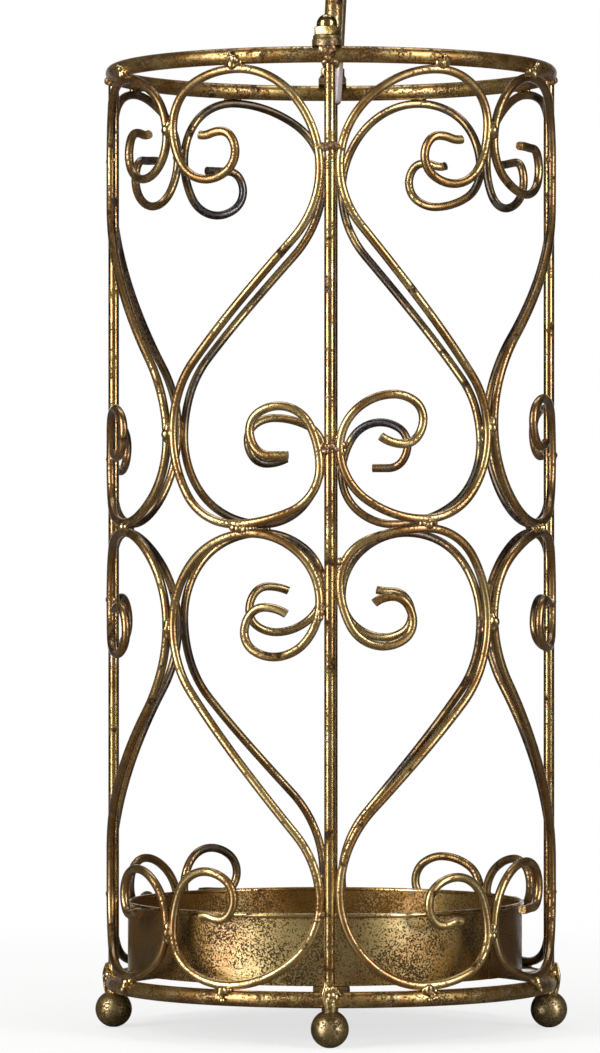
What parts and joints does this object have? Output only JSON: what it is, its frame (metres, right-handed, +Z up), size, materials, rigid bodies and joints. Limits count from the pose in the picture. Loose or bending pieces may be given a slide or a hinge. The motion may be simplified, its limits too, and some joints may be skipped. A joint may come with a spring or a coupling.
{
  "type": "umbrella stand",
  "caption": "Round umbrella stand: welded cage of wire S-scrolls between two rings, on ball feet, with a lift-out drip tray and an arched carrying handle.",
  "frame": {"origin": "centre of the cage on the floor, under the feet", "axes": "+Z up, -Y towards the front post, +X to the right as seen from the front"},
  "size_m": [0.2624, 0.2624, 0.7321],
  "materials": {
    "frame_rod": "antique gold rubbed over dark brown",
    "scroll_wire": "antique gold rubbed over dark brown",
    "hardware": "antique gold rubbed over dark brown",
    "tray_sheet": "speckled antique gold over dark brown"
  },
  "bodies": {
    "frame": {"lower_ring": "frame_rod", "upper_ring": "frame_rod", "carrying_handle": "frame_rod", "post_front": "frame_rod", "post_right": "frame_rod", "post_back": "frame_rod", "post_left": "frame_rod", "ball_foot_front": "frame_rod", "ball_foot_right": "frame_rod", "ball_foot_back": "frame_rod", "ball_foot_left": "frame_rod", "scroll_upper_front_right": "scroll_wire", "scroll_upper_front_left": "scroll_wire", "scroll_upper_right_back": "scroll_wire", "scroll_upper_right_front": "scroll_wire", "scroll_upper_back_left": "scroll_wire", "scroll_upper_back_right": "scroll_wire", "scroll_upper_left_front": "scroll_wire", "scroll_upper_left_back": "scroll_wire", "scroll_lower_front_right": "scroll_wire", "scroll_lower_front_left": "scroll_wire", "scroll_lower_right_back": "scroll_wire", "scroll_lower_right_front": "scroll_wire", "scroll_lower_back_left": "scroll_wire", "scroll_lower_back_right": "scroll_wire", "scroll_lower_left_front": "scroll_wire", "scroll_lower_left_back": "scroll_wire", "tray_bar_front_to_back": "frame_rod", "tray_bar_right": "frame_rod", "tray_bar_left": "frame_rod", "handle_tab_front": "frame_rod", "handle_tab_back": "frame_rod", "stud_front": "hardware", "washer_front": "hardware", "acorn_nut_front": "hardware", "stud_back": "hardware", "washer_back": "hardware", "acorn_nut_back": "hardware", "welds_at_rings": "frame_rod", "welds_at_posts": "frame_rod", "welds_between_scrolls": "frame_rod", "welds_at_middle": "frame_rod"},
    "tray": {"tray_wall": "tray_sheet", "tray_floor": "tray_sheet"}
  },
  "joints": [
    {"name": "tray_lift", "type": "slide", "parent": "frame", "child": "tray", "axis": [0, 0, 1], "range_m": [0, 0.44]}
  ]
}
